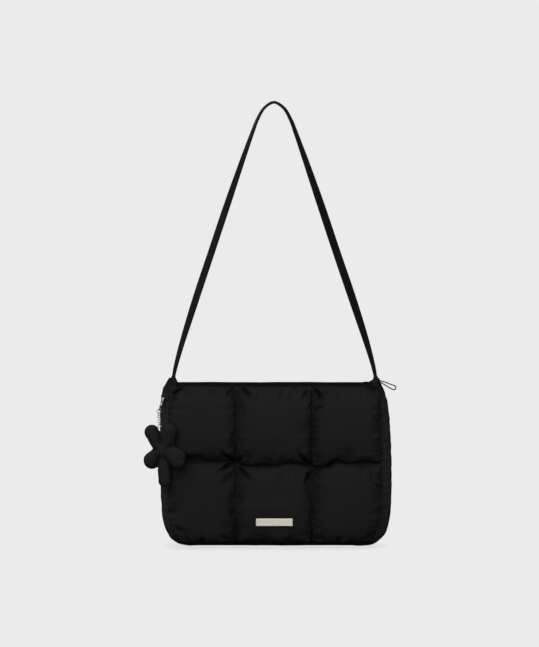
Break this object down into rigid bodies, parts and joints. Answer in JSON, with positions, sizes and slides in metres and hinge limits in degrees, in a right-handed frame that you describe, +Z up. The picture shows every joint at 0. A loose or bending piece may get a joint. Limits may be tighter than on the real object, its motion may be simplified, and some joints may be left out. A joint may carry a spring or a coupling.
{
  "type": "padded bag",
  "caption": "Padded nylon shoulder bag with a quilted front and back, a zip top, a narrow strap, a small bare metal plate and a puffy flower charm on a chain.",
  "frame": {"origin": "under the highest point of the strap, where the bag hangs from a hand, a shoulder or a hook", "axes": "+Z up along the hanging strap, -Y out of the front with the plate, +X towards the zip's closed end"},
  "size_m": [0.3509, 0.0976, 0.6205],
  "materials": {
    "padded_nylon": "matte",
    "nylon": "matte",
    "webbing": "matte",
    "zip_tape": "matte",
    "zip_plastic": "satin",
    "slider_metal": "satin",
    "cord": "matte",
    "plate_metal": "satin",
    "silver": "polished"
  },
  "bodies": {
    "bag": {"front_panel": "padded_nylon", "back_panel": "padded_nylon", "gusset": "nylon", "zip_tape_front": "zip_tape", "zip_tape_back": "zip_tape", "zip_teeth": "zip_plastic", "zip_slider": "slider_metal", "zip_pull_cord": "cord", "strap": "webbing", "plate": "plate_metal", "charm_loop": "nylon", "clasp_body": "silver", "charm_ring": "silver", "chain_link_1": "silver", "chain_link_2": "silver", "chain_link_3": "silver", "chain_link_4": "silver", "chain_link_5": "silver", "flower_ring": "silver", "charm_flower": "padded_nylon"},
    "clasp_lever": {"clasp_lever": "silver"}
  },
  "joints": [
    {"name": "clasp_lever_hinge", "type": "hinge", "parent": "bag", "child": "clasp_lever", "pos_m": [-0.15629, -0.02333, -0.41725], "axis": [-0.9537, 0.1126, 0.2788], "range_deg": [0, 25], "stiffness_Nm_per_rad": 0.00002, "springref_deg": -8.59}
  ]
}
